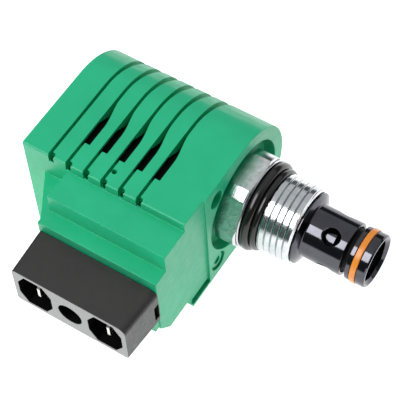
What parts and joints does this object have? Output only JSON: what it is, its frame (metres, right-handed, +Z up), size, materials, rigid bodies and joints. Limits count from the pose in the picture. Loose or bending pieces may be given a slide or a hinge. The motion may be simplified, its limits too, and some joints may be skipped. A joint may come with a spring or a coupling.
{
  "type": "solenoid cartridge valve",
  "caption": "Screw-in hydraulic cartridge valve with a ported cage, hex body and sealing rings, under a slotted moulded coil with a side connector.",
  "frame": {"origin": "bottom centre of the bounding box of the whole valve, which lies on its coil's flat side", "axes": "+X along the valve axis towards the nose, +Y towards the coil's rounded side (the connector faces -Y), +Z up"},
  "size_m": [0.083, 0.064, 0.0346],
  "materials": {
    "green_plastic": "satin moulded encapsulation",
    "black_plastic": "moulded, fine matte texture",
    "bobbin_plastic": "moulded",
    "copper_winding": "enamelled copper wire",
    "dark_steel": "oiled dark strip",
    "tinned_brass": "tin plated",
    "zinc_plated_steel": "bright zinc plate, machined",
    "stainless_steel": "ground",
    "black_oxide_steel": "glossy black oxide",
    "black_rubber": "nitrile, satin",
    "orange_seal": "moulded polyurethane",
    "spring_steel": "drawn wire"
  },
  "bodies": {
    "cartridge": {"hex_adapter": "zinc_plated_steel", "armature_tube": "stainless_steel", "pole_piece": "stainless_steel", "cage": "black_oxide_steel", "spring_retainer": "stainless_steel", "seat_piece": "black_oxide_steel", "nose_seal_ring": "orange_seal", "port_o_ring": "black_rubber", "port_backup_ring": "black_rubber", "armature_spring": "spring_steel", "poppet_spring": "spring_steel"},
    "coil": {"coil_housing": "green_plastic", "winding": "copper_winding", "bobbin": "bobbin_plastic", "yoke": "dark_steel", "connector_body": "black_plastic", "terminal_blade_1": "tinned_brass", "terminal_blade_2": "tinned_brass", "coil_seal_ring": "black_rubber"},
    "coil_nut": {"coil_nut": "zinc_plated_steel", "nut_seal_ring": "black_rubber"},
    "armature": {"armature": "stainless_steel", "push_pin": "stainless_steel"},
    "poppet": {"poppet": "black_oxide_steel"}
  },
  "joints": [
    {"name": "coil_swivel", "type": "hinge", "parent": "cartridge", "child": "coil", "pos_m": [-0.01355, 0.01465, 0.0173], "axis": [1, 0, 0], "continuous": true},
    {"name": "coil_nut_turn", "type": "hinge", "parent": "cartridge", "child": "coil_nut", "pos_m": [-0.03855, 0.01465, 0.0173], "axis": [1, 0, 0], "continuous": true},
    {"name": "armature_slide", "type": "slide", "parent": "cartridge", "child": "armature", "axis": [-1, 0, 0], "range_m": [0, 0.002], "stiffness_N_per_m": 600, "springref_m": -0.002, "deforming": ["armature_spring"]},
    {"name": "poppet_slide", "type": "slide", "parent": "cartridge", "child": "poppet", "axis": [-1, 0, 0], "range_m": [0, 0.0016], "deforming": ["poppet_spring"]}
  ],
  "couplings": [
    {"joint": "poppet_slide", "follows": "armature_slide", "ratio": 0.8}
  ]
}
